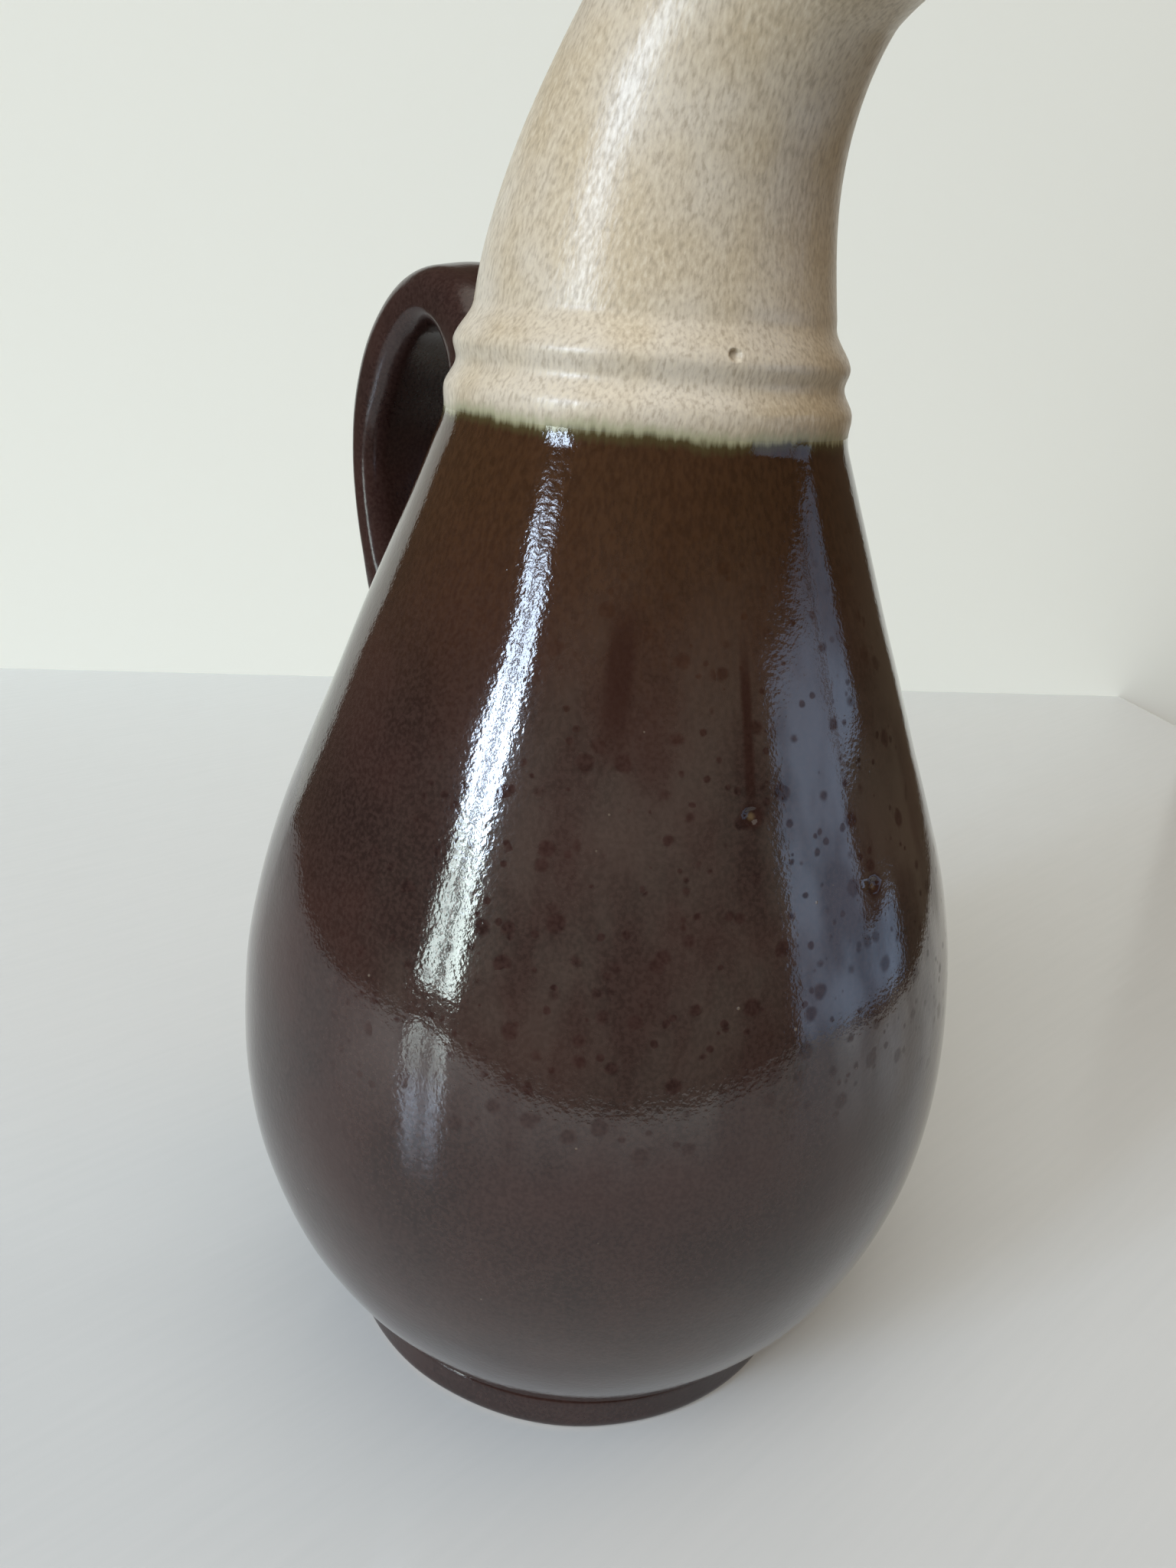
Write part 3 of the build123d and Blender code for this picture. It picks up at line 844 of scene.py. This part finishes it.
def foot_glaze():
    """The same glaze down to the bearing face, which was wiped bare: warm unglazed stoneware."""
    material, tree, place, height = new_material("iron_brown_glaze_with_bare_clay")
    brown, film, pits = brown_ground(tree, place, height)
    grit = add(tree, "TexNoise", {"Vector": place, "Scale": per(CLAY_GRIT), "Detail": 3.0})
    clay = add(tree, "Mix", {0: grit, 6: colour("#8a6a4c"), 7: colour("#c2a27e")}, 2, **COLOURS)
    bare = add(tree, "MapRange", {0: height, 1: BARE_HIGH * MM, 2: BARE_LOW * MM}, **SMOOTH)
    base = add(tree, "Mix", {0: bare, 6: brown, 7: clay}, 2, **COLOURS)
    glossy_glaze(tree, place, base, film, pits)
    return material


def neck_glaze():
    """Beige stoneware glaze, satin, with fine iron specks that ran down a little as it melted."""
    material, tree, place, height = new_material("speckled_beige_glaze")
    clouds = add(tree, "TexNoise", {"Vector": place, "Scale": per(BEIGE_CLOUD), "Detail": 3.0})
    cloudy = add(tree, "MapRange", {0: clouds, 1: NOISE_LOW, 2: NOISE_HIGH}, **SMOOTH)
    ground = add(tree, "Mix", {0: cloudy, 6: colour("#bdae93"), 7: colour("#c9c0b0")}, 2, **COLOURS)
    leaning = add(tree, "Mapping", {"Vector": place, "Rotation": (0, -BEIGE_LEAN, 0)})
    runs = add(tree, "Mapping", {"Vector": leaning, "Scale": BEIGE_RUN_SHAPE})
    specks = add(tree, "TexNoise", {"Vector": runs, "Scale": per(BEIGE_SPECK), "Detail": 3.0})
    speckled = ground
    for start, end, tint in ((0.46, 0.72, "#988b77"), (0.5, 0.3, "#d3c9b4")):
        share = add(tree, "MapRange", {0: specks, 1: start, 2: end, 4: SPECK_SHARE}, **SMOOTH)
        speckled = add(tree, "Mix", {0: share, 6: speckled, 7: colour(tint)}, 2, **COLOURS)
    # Painted shade: the inside of the pinhole is darkened where shade falls in it
    hole = add(tree, "VectorMath", {0: place, 1: pinhole_place()[0]}, "Value", operation="DISTANCE")
    inside = add(tree, "MapRange", {0: hole, 1: 1.6 * PINHOLE_RADIUS, 2: PINHOLE_RADIUS}, **SMOOTH)
    pinhole_with_painted_shade = add(tree, "Mix", {0: inside, 6: speckled, 7: colour("#2c1f14")}, 2, **COLOURS)
    base = glaze_line(tree, place, height, colour("#34241f"), pinhole_with_painted_shade)
    satin = {0: specks, 1: NOISE_LOW, 2: NOISE_HIGH, 3: BEIGE_ROUGHNESS, 4: SPECK_ROUGHNESS}
    roughness = add(tree, "MapRange", satin, **SMOOTH)
    grain = add(tree, "TexNoise", {"Vector": runs, "Scale": per(BEIGE_GRAIN)})
    bump = add(tree, "Bump", {"Strength": 1.0, "Distance": BEIGE_GRAIN_DEPTH * MM, "Height": grain})
    surface = {"Base Color": base, "Roughness": roughness, "IOR": BEIGE_IOR, "Normal": bump}
    add(tree, "OutputMaterial", {"Surface": add(tree, "BsdfPrincipled", surface)})
    return material


def table_paint():
    """White gloss paint, brushed on: pale, with faint strokes."""
    material, tree, place, _ = new_material("brushed_white_paint")
    strokes = add(tree, "Mapping", {"Vector": place, "Scale": BRUSH_SHAPE})
    brush = add(tree, "TexNoise", {"Vector": strokes, "Scale": per(BRUSH_STROKE), "Detail": 3.0})
    base = add(tree, "Mix", {0: brush, 6: colour("#d3d9dc"), 7: colour("#d9dee1")}, 2, **COLOURS)
    bump = add(tree, "Bump", {"Strength": 1.0, "Distance": BRUSH_DEPTH * MM, "Height": brush})
    surface = {"Base Color": base, "Roughness": TABLE_ROUGHNESS, "IOR": TABLE_IOR, "Normal": bump}
    add(tree, "OutputMaterial", {"Surface": add(tree, "BsdfPrincipled", surface)})
    return material


def wall_paint():
    """Matt white wall paint, rolled on: pale and even, with no gloss."""
    material, tree, place, _ = new_material("matt_white_paint")
    mottle = add(tree, "TexNoise", {"Vector": place, "Scale": per(WALL_MOTTLE)})
    base = add(tree, "Mix", {0: mottle, 6: colour("#eff1eb"), 7: colour("#f0f2ec")}, 2, **COLOURS)
    surface = {"Color": base, "Roughness": WALL_ROUGHNESS}
    add(tree, "OutputMaterial", {"Surface": add(tree, "BsdfDiffuse", surface)})
    return material


# Stage, light and camera, with azimuths round the jug in degrees, from the camera to the camera's right
VIEW_AZIMUTH = radians(45)  # the photograph's side of the jug
CAMERA_DISTANCE = 214.9 * MM  # from the jug's axis
CAMERA_HEIGHT = 202 * MM
CAMERA_YAW = radians(1.3)
CAMERA_PITCH = radians(-21.56)
CAMERA_ROLL = radians(4.65)
CAMERA_SENSOR = 36  # width in millimetres
CAMERA_LENS = 26.53
CAMERA_NEAREST = 0.01
JUG_MIDDLE = Vector((0, 0, 0.2))  # what the fill and the warm lamp face
WINDOW_DISTANCE = 2.4
PANE_AZIMUTHS = (-50.3, -43.5)
PANE_WIDTH = 0.165
FAR_RADIANCE = 0.72
FAR_DISTANCE = 1.3
FAR_TINT = "#b0d4ff"
ROOM_TINT = "#ffdfb8"
ROOM_STRENGTH = 0.09
WALL_AZIMUTH = 192.4
WALL_DISTANCE = 0.457  # from the jug's axis
TABLE_FRONT = 0.36  # edges of the table and the wall, from the jug's axis or its foot
TABLE_LEFT = 0.6
TABLE_RIGHT = 0.439
WALL_LEFT = 0.4
WALL_RIGHT = 0.5
WALL_TOP = 0.42
WALL_FOOT = -0.8


def around(azimuth, distance, height):
    """A place at an azimuth round the jug, from the camera to the camera's right."""
    turn = VIEW_AZIMUTH + radians(azimuth)
    return Vector((sin(turn) * distance, -cos(turn) * distance, height))


def make_stage():
    """A white table before a white wall."""
    wall_turn = Matrix.Rotation(VIEW_AZIMUTH + radians(WALL_AZIMUTH - 180), 4, "Z")
    table_middle = Vector(((TABLE_RIGHT - TABLE_LEFT) / 2, (WALL_DISTANCE - TABLE_FRONT) / 2, 0))
    wall_middle = Vector(((WALL_RIGHT - WALL_LEFT) / 2, WALL_DISTANCE, (WALL_TOP + WALL_FOOT) / 2))
    for name, material, middle, tilt, width, depth in (
        ("table", table_paint(), table_middle, 0, TABLE_LEFT + TABLE_RIGHT, WALL_DISTANCE + TABLE_FRONT),
        ("wall", wall_paint(), wall_middle, pi / 2, WALL_LEFT + WALL_RIGHT, WALL_TOP - WALL_FOOT),
    ):
        bpy.ops.object.select_all(action="DESELECT")
        bpy.ops.mesh.primitive_plane_add(size=1, location=wall_turn @ middle)
        plane = bpy.context.object
        plane.name = name
        plane.scale = (width, depth, 1)
        plane.rotation_euler = (tilt, 0, wall_turn.to_euler().z)
        bpy.ops.object.transform_apply(location=True, rotation=True, scale=True)
        plane.data.materials.append(material)


def make_lamp(name, place, aim, width, height, power, tint, matt=True, gloss=True):
    """A soft rectangular light that faces a point, and lights matt surfaces, glossy ones or both."""
    facing = (place - aim).to_track_quat("Z", "Y")
    bpy.ops.object.light_add(type="AREA", location=place, rotation=facing.to_euler())
    lamp = bpy.context.object
    lamp.name = name
    lamp.data.shape = "RECTANGLE"
    lamp.data.size = width
    lamp.data.size_y = height
    lamp.data.energy = power
    lamp.data.color = colour(tint)[:3]
    lamp.visible_diffuse = matt
    lamp.visible_glossy = gloss


def make_light():
    """Two panes of a tall window to the left, a dim blue window to the right, a ceiling and a warm room.

    A fill and a warm lamp stand for the light that the room scatters, so they aren't mirrored in the glaze.
    The blue window is only mirrored, because it is too dim to light much.
    """
    for name, low, high, radiance, tint in (
        ("window_garden", 0.0, 0.72, 11, "#e6f6f3"),
        ("window_sky", 0.72, 1.44, 28, "#d2e6ff"),
        ("window_blind", 1.44, 1.56, 6, "#d9e7ff"),
    ):
        middle = (low + high) / 2
        power = radiance * pi * PANE_WIDTH * (high - low)
        for azimuth in PANE_AZIMUTHS:
            place = around(azimuth, WINDOW_DISTANCE, middle)
            make_lamp(name, place, around(0, 0, middle), PANE_WIDTH, high - low, power, tint)
    for name, azimuth, width, low, high in (
        ("far_window", 75.5, 0.67, -0.16, 0.62),
        ("far_window_top", 98, 0.3, 0.28, 0.62),
        ("far_window_foot", 97.5, 0.34, -0.16, 0.05),
    ):
        middle = (low + high) / 2
        power = FAR_RADIANCE * pi * width * (high - low)
        place = around(azimuth, FAR_DISTANCE, middle)
        make_lamp(name, place, around(0, 0, middle), width, high - low, power, FAR_TINT, matt=False)
    for name, place, aim, width, height, power, tint, gloss in (
        ("ceiling", around(12, 0.6, 1.9), around(12, 0.6, 0), 2.0, 2.0, 15, "#fff8ec", True),
        ("fill", around(-30, 1.9, 1.5), JUG_MIDDLE, 2.0, 1.6, 39, "#ffffff", False),
        ("warm_lamp", around(110, 1.5, 1.2), JUG_MIDDLE, 1.0, 1.0, 3.5, "#ffcf8f", False),
    ):
        make_lamp(name, place, aim, width, height, power, tint, gloss=gloss)
    world = bpy.data.worlds.new("room")
    bpy.context.scene.world = world
    world.use_nodes = True
    world.node_tree.nodes.clear()
    room = add(world.node_tree, "Background", {"Color": colour(ROOM_TINT), "Strength": ROOM_STRENGTH})
    add(world.node_tree, "OutputWorld", {"Surface": room})


def make_camera():
    turn = Matrix.Rotation(VIEW_AZIMUTH + CAMERA_YAW, 3, "Z")
    tilt = Matrix.Rotation(pi / 2 + CAMERA_PITCH, 3, "X")
    roll = Matrix.Rotation(CAMERA_ROLL, 3, "Z")
    facing = (turn @ tilt @ roll).to_euler()
    bpy.ops.object.camera_add(location=around(0, CAMERA_DISTANCE, CAMERA_HEIGHT), rotation=facing)
    camera = bpy.context.object
    camera.data.lens = CAMERA_LENS
    camera.data.sensor_width = CAMERA_SENSOR
    camera.data.clip_start = CAMERA_NEAREST
    bpy.context.scene.camera = camera


def dress(piece, material, slot, *nodes):
    """Gives a piece its glaze, hangs it from the root and hides the solids that it stands for."""
    piece.data.materials.clear()
    piece.data.materials.append(material)
    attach(piece, "root")
    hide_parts(*nodes)


foot_ring = make_foot_ring()
pot = make_pot()
collar = make_collar()
neck = make_neck()
for thrown in (foot_ring, pot, collar, neck):
    hand_waves(thrown)
handle = make_handle([pot, collar, neck])

beige = neck_glaze()
dress(foot_ring, foot_glaze(), "brown_glaze", "foot_ring")
dress(pot, pot_glaze(), "brown_glaze", "pot")
dress(collar, beige, "beige_glaze", "collar")
dress(neck, beige, "beige_glaze", "neck")
dress(handle, handle_glaze(), "brown_glaze", "handle_strap", "handle_upper_root", "handle_lower_root")

make_stage()
make_light()
make_camera()
bpy.context.scene.view_settings.view_transform = "Standard"
